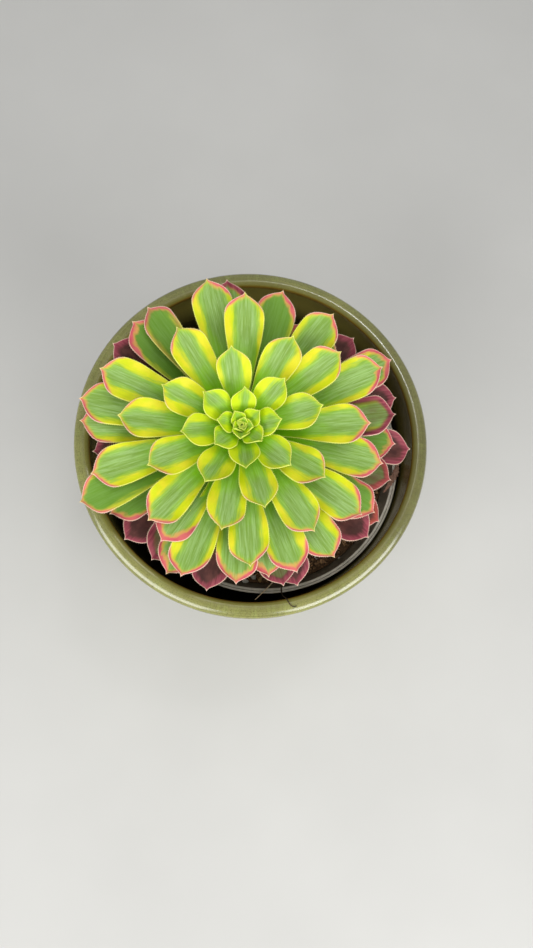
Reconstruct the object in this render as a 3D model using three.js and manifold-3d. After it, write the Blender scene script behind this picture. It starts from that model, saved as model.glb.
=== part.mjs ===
// A potted aeonium: one variegated rosette on a short woody stem, rooted in a plastic nursery pot
// that stands inside a glazed stoneware cachepot.
// Millimetres, +Z up. The origin is the centre of the cachepot's foot, on the surface it stands on.

import * as THREE from 'three';
import { mergeVertices } from 'three/addons/utils/BufferGeometryUtils.js';
import Module from 'manifold-3d';

const wasm = await Module();
wasm.setup();

// Cachepot
const POT_HEIGHT = 130;
const POT_RADIUS = 75.5;
const POT_WALL = 6.2;
const POT_FLOOR = 8;
const POT_FLOOR_RADIUS = 61;
const POT_FLOOR_ROUND = 6;
const POT_BASE_ROUND = 9;
const POT_BASE_LIFT = 1;
const POT_BASE_ARC = { from: -70, to: -12 };
const POT_SIDES = 48;
const FOOT_RADIUS = 57;
const FOOT_RING = 5;
const FOOT_RECESS = 2.5;
const FOOT_CHAMFER = 1.5;
const ROUND_STEPS = 3;

// The rim is broader than the wall. It is highest at its crest, and rounds off on both sides of it.
const RIM_WIDTH = 6.8;
const RIM_CREST = 71.3;
const RIM_OUTER_ROUND = 3;
const RIM_INNER_ROUND = 1.6;
const RIM_STEPS = 3;

// How far the cachepot's outer wall stands in from its rim, by height
const POT_BELLY = [
  { height: 32, inset: 6.2 },
  { height: 62, inset: 2.6 },
  { height: 95, inset: 0.6 },
  { height: 116, inset: 0 },
];

// Nursery pot, pushed against one side of the cachepot
const NURSERY_RADIUS = 61;
const NURSERY_TOP = 108;
const NURSERY_BASE_RADIUS = 45;
const NURSERY_BASE_ROUND = 2;
const NURSERY_WALL = 1.4;
const NURSERY_LIP = 2.4;
const NURSERY_LIP_DEPTH = 5;
const NURSERY_OVERHANG = 1.8;
const NURSERY_EDGE = 0.8;
const NURSERY_CENTRE = new THREE.Vector2(6.3, -4);
const NURSERY_SIDES = 40;
const DRAIN_HOLES = 6;
const DRAIN_HOLE_RADIUS = 4;
const DRAIN_HOLE_SIDES = 12;
const DRAIN_RING_RADIUS = 27;

// Soil, heaped a little towards the middle
const SOIL_TOP = 99;
const SOIL_CROWN = 3;
const SOIL_BEVEL = 2;
const SOIL_SIDES = 36;
const SOIL_STEPS = 6;

// The soil's lumps are waves that cross each other: height, radians per millimetre along X and Y,
// and phase. They fade out towards the pot's wall.
const SOIL_LUMPS = [
  { height: 0.8, alongX: 0.42, alongY: 0.12, phase: 1.3 },
  { height: 0.6, alongX: -0.25, alongY: 0.38, phase: 0.4 },
  { height: 0.4, alongX: 0.3, alongY: 0.5, phase: 2.1 },
];
const SOIL_LUMPS_FADE = 6;

// Every piece that rests in or against another keeps this gap to it
const GAP = 0.3;

// Rosette axis: its reference point, and the lean towards -Y of the direction in which it grows
const ROSETTE_CENTRE = new THREE.Vector3(-5.9, -1.8, POT_HEIGHT + 27.5);
const ROSETTE_LEAN = THREE.MathUtils.degToRad(5.5);

// The leaves are numbered outwards from the growing tip. Each one stands a golden angle further
// round, and the youngest still lead by some degrees.
const GOLDEN_ANGLE = 180 * (3 - Math.sqrt(5));
const SPIRAL_START = 113;
const YOUNG_LEAD = 13;
const YOUNG_LEAD_FADE = 12;
const FIRST_LEAF = -4;
const LAST_GREEN_LEAF = 61;
const LAST_LEAF = 83;
const SEED = 5.2;

// How a leaf grows with its number: reach of the tip from the axis, height of the tip, full width,
// and the arching of the blade in degrees
const GROWTH = [
  { leaf: -4, reach: 2.0, height: 3.6, width: 3.4, arch: 14 },
  { leaf: 0, reach: 5.2, height: 5.6, width: 5.8, arch: 14 },
  { leaf: 8, reach: 17.0, height: 8.6, width: 11.2, arch: 12 },
  { leaf: 16, reach: 32.5, height: 8.0, width: 13.8, arch: 11 },
  { leaf: 24, reach: 46.0, height: 5.0, width: 15.0, arch: 12 },
  { leaf: 34, reach: 56.5, height: 0.5, width: 15.6, arch: 14 },
  { leaf: 48, reach: 61.0, height: -5.0, width: 15.8, arch: 18 },
  { leaf: 64, reach: 63.0, height: -15.0, width: 15.4, arch: 22 },
  { leaf: 84, reach: 63.5, height: -27.0, width: 14.5, arch: 26 },
];

// Leaves that grew out of line with the spiral, by the degrees that they are turned
const TURNED = [
  { by: -17.5, leaves: [20] },
  { by: -12.5, leaves: [46, 50] },
  { by: -10, leaves: [18, 54, 56, 83] },
  { by: -7.5, leaves: [12, 17, 25, 33, 38, 40, 61] },
  { by: -5, leaves: [6, 10, 13, 15, 30, 31, 34, 41, 49, 51, 52, 57, 67, 69, 70] },
  { by: -2.5, leaves: [14, 19, 28, 39, 45, 62, 72, 75, 77] },
  { by: 2.5, leaves: [21, 24, 35, 43, 48, 78] },
  { by: 5, leaves: [1, 7, 8, 32] },
  { by: 7.5, leaves: [4] },
  { by: 10, leaves: [37, 63] },
  { by: 12.5, leaves: [64] },
  { by: 15, leaves: [74, 80] },
  { by: 17.5, leaves: [29] },
];

// Leaves that reach further or less far than those beside them, by millimetres
const STRETCHED = [
  { by: -12, leaves: [52] },
  { by: -10, leaves: [44] },
  { by: -8, leaves: [48] },
  { by: -6, leaves: [58] },
  { by: -4, leaves: [66] },
  { by: -3, leaves: [14, 20, 22, 39, 41, 51] },
  { by: -2, leaves: [9, 17, 28, 47, 50, 61] },
  { by: -1, leaves: [1, 4, 6, 7, 12, 42, 63, 69] },
  { by: 1, leaves: [5, 8, 25, 33, 38, 45, 46, 56, 64] },
  { by: 2, leaves: [10, 13, 18, 21, 23, 26, 31, 34, 36, 75, 77] },
  { by: 3, leaves: [70, 72] },
  { by: 4, leaves: [32, 35, 37, 67] },
  { by: 5, leaves: [29, 57, 80] },
  { by: 8, leaves: [40] },
  { by: 9, leaves: [83] },
];

// A leaf that is held up over its neighbour, and one that stayed narrow, by millimetres
const RAISED = [{ by: 6, leaves: [48] }];
const NARROWED = [{ by: 3, leaves: [42] }];

// Old leaves that have dropped off
const FALLEN = [53, 55, 59, 60, 65, 68, 71, 73, 76, 79, 81, 82];

// Where a leaf's root sits in the crown: the youngest leaf's height, the step down to each next
// one, and a further drop for the old leaves
const ROOT_TOP = -3;
const ROOT_STEP = 0.45;
const OLD_ROOT_DROP = 3.6;
const ROOT_DEPTH = 0.5;

// Blade outline. The root's width is a share of the full width, and larger on the youngest leaves.
// The point's length is in widths, and the shoulder between them stays within this range of the
// blade's length.
const ROOT_WIDTH = 0.34;
const YOUNG_ROOT = 0.3;
const YOUNG_ROOT_FADE = 8;
const ROOT_SPREAD = 1.5;
const POINT_LENGTH = 0.62;
const POINT_CURVE = 2.9;
const SHOULDER_RANGE = { lowest: 0.5, highest: 0.88 };

// Blade section: thickness at the root, at the tip and along the edges, and how the edges turn up
const BLADE_THICK = 2.0;
const BLADE_THIN = 0.9;
const BLADE_EDGE = 0.6;
const BLADE_CUP = 0.15;
const YOUNG_CUP = 0.4;
const YOUNG_CUP_FADE = 6;
const CUP_VARIES = 0.3;
const BLADE_ROLL = THREE.MathUtils.degToRad(6);

// The blade's mesh: columns across, and rows as shares of the stalk and of the point
const BLADE_COLUMNS = 4;
const STALK_ROWS = [0, 0.55, 1];
const POINT_ROWS = [0.5, 0.85];

// Crown: the fleshy top of the stem that the leaves grow from, green above and maroon below
const CROWN_RADIUS = 5.5;
const CROWN_TIP_RADIUS = 0.8;
const CROWN_TIP = 1;
const CROWN_SHOULDER = -18;
const CROWN_SIDES = 12;
const CROWN_STEPS = 5;
const CROWN_CROWDING = 1.6;
const GREEN_CROWN_END = -32.6;
const OLD_CROWN_END = -46;

// Stem. It rises straight from its foot and turns into the crown's lean at the top.
const STEM_RADIUS = 5.2;
const STEM_FOOT_RADIUS = 6.4;
const STEM_FOOT = new THREE.Vector3(1, -1, 66);
const STEM_RISE = 16;
const STEM_TURN = 12;
const STEM_SIDES = 12;
const STEM_RINGS = 12;
const SCAR_DEPTH = 0.35;

const UP = new THREE.Vector3(0, 0, 1);

// Joins and cuts

function solid(geometry) {
  const plain = geometry.clone();
  plain.deleteAttribute('normal');
  plain.deleteAttribute('uv');
  const merged = mergeVertices(plain, 1e-4);
  const mesh = new wasm.Mesh({
    numProp: 3,
    vertProperties: new Float32Array(merged.attributes.position.array),
    triVerts: new Uint32Array(merged.index.array),
  });
  return new wasm.Manifold(mesh);
}

function geometryOf(manifold) {
  const mesh = manifold.getMesh();
  const geometry = new THREE.BufferGeometry();
  geometry.setAttribute('position', new THREE.BufferAttribute(mesh.vertProperties, 3));
  geometry.setIndex(new THREE.BufferAttribute(mesh.triVerts, 1));
  return geometry;
}

function bodyFrom(points, index) {
  const geometry = new THREE.BufferGeometry().setFromPoints(points);
  geometry.setIndex(index);
  return geometry;
}

// A repeatable draw from -1 to 1 for one trait of one numbered leaf: the fraction of a fast wave

function draw(leaf, trait) {
  const wave = Math.sin(leaf * 12.9898 + trait * 78.233 + SEED) * 43758.5453;
  return 2 * (wave - Math.floor(wave)) - 1;
}

function smoothstep(value) {
  const t = THREE.MathUtils.clamp(value, 0, 1);
  return t * t * (3 - 2 * t);
}

// A body skinned over rings of points, from the lowest ring to the highest, with a fan at each end

function skin(rings) {
  const sides = rings[0].length;
  const points = rings.flat();
  const middle = (ring) => ring.reduce((sum, p) => sum.add(p), new THREE.Vector3()).divideScalar(sides);
  const bottom = points.length;
  const top = bottom + 1;
  points.push(middle(rings[0]), middle(rings[rings.length - 1]));
  const index = [];
  for (let r = 0; r < rings.length - 1; r += 1) {
    for (let s = 0; s < sides; s += 1) {
      const a = r * sides + s;
      const b = r * sides + ((s + 1) % sides);
      index.push(a, b, a + sides, b, b + sides, a + sides);
    }
  }
  const last = (rings.length - 1) * sides;
  for (let s = 0; s < sides; s += 1) {
    const next = (s + 1) % sides;
    index.push(bottom, next, s);
    index.push(top, last + s, last + next);
  }
  return bodyFrom(points, index);
}

// A turned body stands with its axis along +Z. Its profile is a list of [radius, height] pairs.

function turned(profile, sides) {
  const points = profile.map(([radius, height]) => new THREE.Vector2(radius, height));
  return new THREE.LatheGeometry(points, sides).rotateX(Math.PI / 2);
}

function arc(centreRadius, centreHeight, radius, from, to, steps) {
  const points = [];
  for (let i = 0; i <= steps; i += 1) {
    const angle = THREE.MathUtils.degToRad(from + ((to - from) * i) / steps);
    points.push([centreRadius + radius * Math.cos(angle), centreHeight + radius * Math.sin(angle)]);
  }
  return points;
}

// Half of the rim's top: a quarter of an oval, from the crest down to the outer or the inner side

function rimHalf(side, round) {
  const points = [];
  for (let i = 0; i <= RIM_STEPS; i += 1) {
    const angle = (i / RIM_STEPS) * (Math.PI / 2);
    points.push([
      RIM_CREST + (side - RIM_CREST) * Math.sin(angle),
      POT_HEIGHT - round * (1 - Math.cos(angle)),
    ]);
  }
  return points;
}

// Cachepot: a turned stoneware shell with a foot ring, a softly bellied wall and a rounded rim

function cachepotGeometry() {
  const footInside = FOOT_RADIUS - FOOT_RING;
  const baseCentre = POT_BASE_LIFT + POT_BASE_ROUND;
  const floorCentre = POT_FLOOR + POT_FLOOR_ROUND;
  const outside = POT_BELLY.map(({ height, inset }) => [POT_RADIUS - inset, height]);
  const inside = outside.map(([radius, height]) => [radius - POT_WALL, height]).reverse();
  const profile = [
    [0, FOOT_RECESS],
    [footInside - FOOT_CHAMFER, FOOT_RECESS],
    [footInside, 0],
    [FOOT_RADIUS, 0],
    ...arc(FOOT_RADIUS, baseCentre, POT_BASE_ROUND, POT_BASE_ARC.from, POT_BASE_ARC.to, ROUND_STEPS),
    ...outside,
    ...rimHalf(POT_RADIUS, RIM_OUTER_ROUND).reverse(),
    ...rimHalf(POT_RADIUS - RIM_WIDTH, RIM_INNER_ROUND).slice(1),
    ...inside,
    ...arc(POT_FLOOR_RADIUS - POT_FLOOR_ROUND, floorCentre, POT_FLOOR_ROUND, 0, -90, ROUND_STEPS),
    [0, POT_FLOOR],
  ];
  return turned(profile, POT_SIDES);
}

// Nursery pot: a thin tapered plastic shell with a rolled lip and drain holes in its floor

function nurseryRadius(height) {
  const rise = (height - POT_FLOOR) / (NURSERY_TOP - POT_FLOOR);
  return THREE.MathUtils.lerp(NURSERY_BASE_RADIUS, NURSERY_RADIUS - NURSERY_OVERHANG, rise);
}

function nurseryPotGeometry() {
  const base = POT_FLOOR + GAP;
  const floor = base + NURSERY_WALL;
  const underLip = NURSERY_TOP - NURSERY_LIP_DEPTH;
  const lipInside = NURSERY_RADIUS - NURSERY_LIP;
  const shell = solid(turned([
    [0, base],
    [NURSERY_BASE_RADIUS - NURSERY_BASE_ROUND, base],
    [nurseryRadius(base + NURSERY_BASE_ROUND), base + NURSERY_BASE_ROUND],
    [nurseryRadius(underLip), underLip],
    [NURSERY_RADIUS, underLip],
    [NURSERY_RADIUS, NURSERY_TOP - NURSERY_EDGE],
    [NURSERY_RADIUS - NURSERY_EDGE, NURSERY_TOP],
    [lipInside + NURSERY_EDGE, NURSERY_TOP],
    [lipInside, NURSERY_TOP - NURSERY_EDGE],
    [nurseryRadius(underLip) - NURSERY_WALL, underLip],
    [nurseryRadius(floor) - NURSERY_WALL, floor],
    [0, floor],
  ], NURSERY_SIDES));
  const holeLength = 4 * NURSERY_WALL;
  const holes = [];
  for (let i = 0; i < DRAIN_HOLES; i += 1) {
    const angle = (i / DRAIN_HOLES) * 2 * Math.PI;
    const hole = new THREE.CylinderGeometry(
      DRAIN_HOLE_RADIUS,
      DRAIN_HOLE_RADIUS,
      holeLength,
      DRAIN_HOLE_SIDES,
    );
    hole.rotateX(Math.PI / 2);
    hole.translate(DRAIN_RING_RADIUS * Math.cos(angle), DRAIN_RING_RADIUS * Math.sin(angle), base);
    holes.push(solid(hole));
  }
  const pierced = shell.subtract(wasm.Manifold.union(holes));
  return geometryOf(pierced).translate(NURSERY_CENTRE.x, NURSERY_CENTRE.y, 0);
}

// Soil: it fills the nursery pot, is heaped a little round the stem, and has a plain hole for it

function soilRadius(height) {
  return nurseryRadius(height) - NURSERY_WALL - GAP;
}

function soilHeight(x, y) {
  const edge = soilRadius(SOIL_TOP);
  const radius = Math.hypot(x, y);
  const heap = SOIL_CROWN * (1 - (radius / edge) ** 2);
  let lumps = 0;
  for (const wave of SOIL_LUMPS) {
    lumps += wave.height * Math.sin(wave.alongX * x + wave.alongY * y + wave.phase);
  }
  return SOIL_TOP + heap + lumps * smoothstep((edge - radius) / SOIL_LUMPS_FADE);
}

function soilGeometry() {
  const floor = POT_FLOOR + GAP + NURSERY_WALL + GAP;
  const circle = (radius, heightAt) => {
    const ring = [];
    for (let s = 0; s < SOIL_SIDES; s += 1) {
      const angle = (s / SOIL_SIDES) * 2 * Math.PI;
      const x = radius * Math.cos(angle);
      const y = radius * Math.sin(angle);
      ring.push(new THREE.Vector3(x, y, heightAt(x, y)));
    }
    return ring;
  };
  const rings = [circle(soilRadius(floor) - SOIL_BEVEL, () => floor)];
  for (let i = 0; i < SOIL_STEPS; i += 1) {
    rings.push(circle(soilRadius(SOIL_TOP) * (1 - i / SOIL_STEPS), soilHeight));
  }
  const heap = solid(skin(rings).translate(NURSERY_CENTRE.x, NURSERY_CENTRE.y, 0));
  return geometryOf(heap.subtract(solid(stemBody(GAP))));
}

// The rosette's own frame: the height runs along its leaning axis

function onRosette(x, y, height) {
  const point = new THREE.Vector3(x, y, height);
  point.applyAxisAngle(new THREE.Vector3(1, 0, 0), ROSETTE_LEAN);
  return point.add(ROSETTE_CENTRE);
}

// Growth of a leaf trait, run smoothly through the rows of the table

function growth(leaf, trait) {
  const last = GROWTH.length - 1;
  let row = 0;
  while (row < last - 1 && GROWTH[row + 1].leaf <= leaf) {
    row += 1;
  }
  const slope = (i) => {
    const before = GROWTH[Math.max(i - 1, 0)];
    const after = GROWTH[Math.min(i + 1, last)];
    return (after[trait] - before[trait]) / (after.leaf - before.leaf);
  };
  const step = GROWTH[row + 1].leaf - GROWTH[row].leaf;
  const t = (leaf - GROWTH[row].leaf) / step;
  return GROWTH[row][trait] * (1 + 2 * t) * (1 - t) ** 2
    + slope(row) * step * t * (1 - t) ** 2
    + GROWTH[row + 1][trait] * t * t * (3 - 2 * t)
    - slope(row + 1) * step * t * t * (1 - t);
}

function outOfLine(table, leaf) {
  return table.find(({ leaves }) => leaves.includes(leaf))?.by ?? 0;
}

function crownRadius(height) {
  const narrowing = smoothstep((CROWN_TIP - height) / (CROWN_TIP - CROWN_SHOULDER));
  return THREE.MathUtils.lerp(CROWN_TIP_RADIUS, CROWN_RADIUS, narrowing);
}

// Half the blade's width as a share of the widest: a narrow stalk-like root that spreads to a broad
// shoulder near the tip, and then closes to a point

function bladeOutline(along, shoulder, root) {
  if (along < shoulder) {
    return THREE.MathUtils.lerp(root, 1, smoothstep((along / shoulder) ** ROOT_SPREAD));
  }
  return 1 - ((along - shoulder) / (1 - shoulder)) ** POINT_CURVE;
}

// The midrib is a curve in the upright plane through the axis, from the root in the crown to the
// tip. It leaves its chord by the arch's angle and comes back to it by the same angle.

function midribOf(leaf) {
  const oldDrop = leaf > LAST_GREEN_LEAF ? OLD_ROOT_DROP : 0;
  const rootHeight = ROOT_TOP - ROOT_STEP * leaf - oldDrop;
  const root = new THREE.Vector2(ROOT_DEPTH * crownRadius(rootHeight), rootHeight);
  const reach = growth(leaf, 'reach') + outOfLine(STRETCHED, leaf);
  const tip = new THREE.Vector2(reach, growth(leaf, 'height') + outOfLine(RAISED, leaf));
  const chord = tip.clone().sub(root);
  const arch = THREE.MathUtils.degToRad(growth(leaf, 'arch'));
  const handle = chord.length() / 3 / Math.cos(arch / 2) ** 2;
  const leave = chord.angle() + arch;
  const arrive = chord.angle() - arch;
  return new THREE.CubicBezierCurve(
    root,
    new THREE.Vector2(Math.cos(leave), Math.sin(leave)).multiplyScalar(handle).add(root),
    new THREE.Vector2(Math.cos(arrive), Math.sin(arrive)).multiplyScalar(-handle).add(tip),
    tip,
  );
}

function leafPlan(leaf) {
  const midrib = midribOf(leaf);
  const length = midrib.v0.distanceTo(midrib.v3);
  const width = growth(leaf, 'width') - outOfLine(NARROWED, leaf);
  const age = leaf - FIRST_LEAF;
  const lead = YOUNG_LEAD * Math.exp(-age / YOUNG_LEAD_FADE);
  const bearing = SPIRAL_START + GOLDEN_ANGLE * leaf + lead + outOfLine(TURNED, leaf);
  const cup = BLADE_CUP + YOUNG_CUP * Math.exp(-age / YOUNG_CUP_FADE);
  const { lowest, highest } = SHOULDER_RANGE;
  return {
    bearing: THREE.MathUtils.degToRad(bearing),
    midrib,
    width,
    root: ROOT_WIDTH + YOUNG_ROOT * Math.exp(-age / YOUNG_ROOT_FADE),
    shoulder: THREE.MathUtils.clamp(1 - (POINT_LENGTH * width) / length, lowest, highest),
    roll: BLADE_ROLL * draw(leaf, 1),
    cup: cup * (1 + CUP_VARIES * draw(leaf, 2)),
  };
}

// A point of the blade: along it from 0 to 1, across it from -1 to 1, and 0 on its upper face or 1
// on its lower one

function bladePoint(plan, along, across, depth) {
  const spine = plan.midrib.getPoint(along);
  const heading = plan.midrib.getTangent(along);
  const outward = new THREE.Vector3(Math.cos(plan.bearing), Math.sin(plan.bearing), 0);
  const sideways = new THREE.Vector3(-Math.sin(plan.bearing), Math.cos(plan.bearing), 0);
  const face = outward.clone().multiplyScalar(-heading.y).addScaledVector(UP, heading.x);
  const roll = plan.roll * along;
  const side = sideways.clone().multiplyScalar(Math.cos(roll)).addScaledVector(face, Math.sin(roll));
  const normal = face.clone().multiplyScalar(Math.cos(roll)).addScaledVector(sideways, -Math.sin(roll));
  const half = (bladeOutline(along, plan.shoulder, plan.root) * plan.width) / 2;
  const middle = THREE.MathUtils.lerp(BLADE_THICK, BLADE_THIN, along);
  const thickness = THREE.MathUtils.lerp(middle, BLADE_EDGE, across * across);
  const point = outward.clone().multiplyScalar(spine.x).addScaledVector(UP, spine.y);
  point.addScaledVector(side, across * half);
  point.addScaledVector(normal, plan.cup * half * across * across - depth * thickness);
  return onRosette(point.x, point.y, point.z);
}

// A leaf is two layers of rows that meet in a single point each, with a wall all round

function leafGeometry(leaf) {
  const plan = leafPlan(leaf);
  const rows = [
    ...STALK_ROWS.map((share) => share * plan.shoulder),
    ...POINT_ROWS.map((share) => THREE.MathUtils.lerp(plan.shoulder, 1, share)),
  ];
  const points = [];
  for (const depth of [0, 1]) {
    for (const along of rows) {
      for (let c = 0; c <= BLADE_COLUMNS; c += 1) {
        points.push(bladePoint(plan, along, (2 * c) / BLADE_COLUMNS - 1, depth));
      }
    }
    points.push(bladePoint(plan, 1, 0, depth));
  }
  const columns = BLADE_COLUMNS + 1;
  const layer = rows.length * columns + 1;
  const index = [];
  for (let r = 0; r < rows.length - 1; r += 1) {
    for (let c = 0; c < BLADE_COLUMNS; c += 1) {
      const a = r * columns + c;
      const b = a + 1;
      const d = a + columns;
      const e = d + 1;
      index.push(a, d, b, b, d, e);
      index.push(a + layer, b + layer, d + layer, b + layer, e + layer, d + layer);
    }
    const left = r * columns;
    const right = left + BLADE_COLUMNS;
    index.push(left, left + layer, left + columns);
    index.push(left + layer, left + columns + layer, left + columns);
    index.push(right, right + columns, right + layer);
    index.push(right + layer, right + columns, right + columns + layer);
  }
  const end = (rows.length - 1) * columns;
  const tip = layer - 1;
  for (let c = 0; c < BLADE_COLUMNS; c += 1) {
    index.push(end + c, tip, end + c + 1);
    index.push(end + c + layer, end + c + 1 + layer, tip + layer);
    index.push(c, c + 1, c + layer);
    index.push(c + 1, c + 1 + layer, c + layer);
  }
  const right = end + BLADE_COLUMNS;
  index.push(end, end + layer, tip, end + layer, tip + layer, tip);
  index.push(right, tip, right + layer, right + layer, tip, tip + layer);
  return bodyFrom(points, index);
}

// A length of the crown between two heights, with its rings drawn closer together towards the top

function crownBody(top, bottom, steps) {
  const rings = [];
  for (let r = 0; r <= steps; r += 1) {
    const height = THREE.MathUtils.lerp(top, bottom, (1 - r / steps) ** CROWN_CROWDING);
    const radius = crownRadius(height);
    const ring = [];
    for (let s = 0; s < CROWN_SIDES; s += 1) {
      const angle = (s / CROWN_SIDES) * 2 * Math.PI;
      ring.push(onRosette(radius * Math.cos(angle), radius * Math.sin(angle), height));
    }
    rings.push(ring);
  }
  return skin(rings);
}

// A crown with its leaves joined to it. Where the leaves close off a small hollow between them, its
// inner skin is left out, which fills it.

function leafyCrown(crown, first, last) {
  const bodies = [solid(crown)];
  for (let leaf = first; leaf <= last; leaf += 1) {
    if (!FALLEN.includes(leaf)) {
      bodies.push(solid(leafGeometry(leaf)));
    }
  }
  const skins = wasm.Manifold.union(bodies).decompose();
  return geometryOf(wasm.Manifold.union(skins.filter((body) => body.volume() > 0)));
}

function rosetteGeometry() {
  const crown = crownBody(CROWN_TIP, GREEN_CROWN_END + GAP / 2, CROWN_STEPS);
  return leafyCrown(crown, FIRST_LEAF, LAST_GREEN_LEAF);
}

function oldLeavesGeometry() {
  const crown = crownBody(GREEN_CROWN_END - GAP / 2, OLD_CROWN_END + GAP / 2, 1);
  return leafyCrown(crown, LAST_GREEN_LEAF + 1, LAST_LEAF);
}

// Stem: a woody trunk that rises from its hole in the soil and bends over to meet the crown. The
// swell makes the larger body that cuts the hole.

function stemBody(swell) {
  const top = onRosette(0, 0, OLD_CROWN_END - GAP / 2 + swell);
  const path = new THREE.CubicBezierCurve3(
    STEM_FOOT.clone().addScaledVector(UP, -swell),
    STEM_FOOT.clone().addScaledVector(UP, STEM_RISE),
    onRosette(0, 0, OLD_CROWN_END - STEM_TURN),
    top,
  );
  const sideways = new THREE.Vector3(1, 0, 0);
  const leaning = onRosette(0, 1, 0).sub(ROSETTE_CENTRE);
  const rings = [];
  for (let r = 0; r <= STEM_RINGS; r += 1) {
    const share = r / STEM_RINGS;
    const centre = path.getPoint(share);
    const forward = new THREE.Vector3(0, 1, 0).lerp(leaning, share).normalize();
    const scar = r % 2 === 0 ? SCAR_DEPTH : 0;
    const radius = THREE.MathUtils.lerp(STEM_FOOT_RADIUS, STEM_RADIUS, share) + swell - scar;
    const ring = [];
    for (let s = 0; s < STEM_SIDES; s += 1) {
      const angle = (s / STEM_SIDES) * 2 * Math.PI;
      const point = centre.clone().addScaledVector(sideways, radius * Math.cos(angle));
      ring.push(point.addScaledVector(forward, radius * Math.sin(angle)));
    }
    rings.push(ring);
  }
  return skin(rings);
}

// Materials

function material(color, roughness, metalness = 0) {
  return new THREE.MeshStandardMaterial({ color, roughness, metalness });
}

const glaze = material(0x7d8042, 0.25);
const nurseryPlastic = material(0x6b6459, 0.5);
const pottingSoil = material(0x3a2a1d, 0.95);
const bark = material(0x8a7350, 0.85);
const maroonLeaf = material(0x7c3842, 0.55);
const greenLeaf = material(0x8fb53c, 0.55);

// Assembly

function part(name, geometry, finish) {
  const mesh = new THREE.Mesh(geometry, finish);
  mesh.name = name;
  return mesh;
}

const group = new THREE.Group();
group.add(
  part('cachepot', cachepotGeometry(), glaze),
  part('nursery_pot', nurseryPotGeometry(), nurseryPlastic),
  part('soil', soilGeometry(), pottingSoil),
  part('stem', stemBody(0), bark),
  part('old_leaves', oldLeavesGeometry(), maroonLeaf),
  part('rosette', rosetteGeometry(), greenLeaf),
);

export default group;
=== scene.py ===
# A potted aeonium: one variegated rosette on a short woody stem, in a plastic nursery pot that
# stands inside a glazed cachepot. Sizes are in millimetres until a mesh is made, which is in metres.

from math import atan2, cos, exp, pi, radians, sin, sqrt

import bmesh
import bpy
import numpy as np
from mathutils import Euler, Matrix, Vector, noise


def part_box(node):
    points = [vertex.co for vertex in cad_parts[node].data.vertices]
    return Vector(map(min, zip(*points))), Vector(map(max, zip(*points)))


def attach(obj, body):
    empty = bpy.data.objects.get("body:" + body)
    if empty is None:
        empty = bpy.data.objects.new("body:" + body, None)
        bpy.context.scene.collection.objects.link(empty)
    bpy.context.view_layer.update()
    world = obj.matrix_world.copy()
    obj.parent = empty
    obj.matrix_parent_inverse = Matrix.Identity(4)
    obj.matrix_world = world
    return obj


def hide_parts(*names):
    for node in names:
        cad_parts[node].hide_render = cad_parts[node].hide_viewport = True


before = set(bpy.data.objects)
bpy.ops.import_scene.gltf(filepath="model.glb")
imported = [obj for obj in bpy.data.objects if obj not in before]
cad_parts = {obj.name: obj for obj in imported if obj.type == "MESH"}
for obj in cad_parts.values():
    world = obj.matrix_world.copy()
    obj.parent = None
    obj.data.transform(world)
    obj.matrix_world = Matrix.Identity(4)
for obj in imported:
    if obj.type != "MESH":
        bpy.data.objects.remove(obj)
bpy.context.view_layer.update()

MM = 0.001
UP = np.array((0, 0, 1))
scene = bpy.context.scene


def box_of(node):
    """Lowest and highest corner of a node, in millimetres."""
    low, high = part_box(node)
    return np.array(low) / MM, np.array(high) / MM


_, pot_high = box_of("cachepot")
nursery_low, nursery_high = box_of("nursery_pot")
stem_low, _ = box_of("stem")

# Cachepot
POT_HEIGHT = pot_high[2]
POT_RADIUS = pot_high[0]
POT_WALL = 6.2
POT_FLOOR = 8
POT_FLOOR_RADIUS = 61
POT_FLOOR_ROUND = 6
POT_BASE_ROUND = 9
POT_BASE_LIFT = 1
POT_BASE_ARC = (-70, -12)
FOOT_RADIUS = 57
FOOT_RING = 5
FOOT_RECESS = 2.5
FOOT_CHAMFER = 1.5
FOOT_EDGE = 0.3
POT_SIDES = 288

# Bare clay up to the first height, and glaze from the second one on
BARE_FOOT = (1.2, 2.2)

# How the wall shrank in the kiln, as shares of its radius, and the heights between which that starts
POT_SHRINK = 0.00015
POT_OVAL = 0.00012
SHRINK_HEIGHTS = (20, 60)

# The cachepot's rim rounds off on both sides of its crest
RIM_WIDTH = 6.8
RIM_CREST = 71.3
RIM_OUTER_ROUND = 3
RIM_INNER_ROUND = 1.6
RIM_STEPS = 16

# The glaze's turn grows by 1 over this depth inside
INSIDE_TURN = 40

# How far the cachepot's outer wall stands in from its rim: height, inset
POT_BELLY = ((32, 6.2), (62, 2.6), (95, 0.6), (116, 0))

# Nursery pot, pushed against one side of the cachepot
NURSERY_RADIUS = (nursery_high[0] - nursery_low[0]) / 2
NURSERY_TOP = nursery_high[2]
NURSERY_BASE = nursery_low[2]
NURSERY_CENTRE = (nursery_low[:2] + nursery_high[:2]) / 2
NURSERY_BASE_RADIUS = 45
NURSERY_BASE_ROUND = 2
NURSERY_WALL = 1.4
NURSERY_LIP = 2.4
NURSERY_LIP_DEPTH = 5
NURSERY_OVERHANG = 1.8
LIP_GROOVE = 1.05
GROOVE_WIDTH = 0.4
GROOVE_DEPTH = 0.35
LIP_INSIDE_ROUND = 0.7
LIP_OUTSIDE_ROUND = 0.6
LIP_UNDER_ROUND = 0.4
NURSERY_SIDES = 240
DRAIN_HOLES = 6
DRAIN_HOLE_RADIUS = 4
DRAIN_RING_RADIUS = 27
DRAIN_HOLE_SIDES = 32

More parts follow.
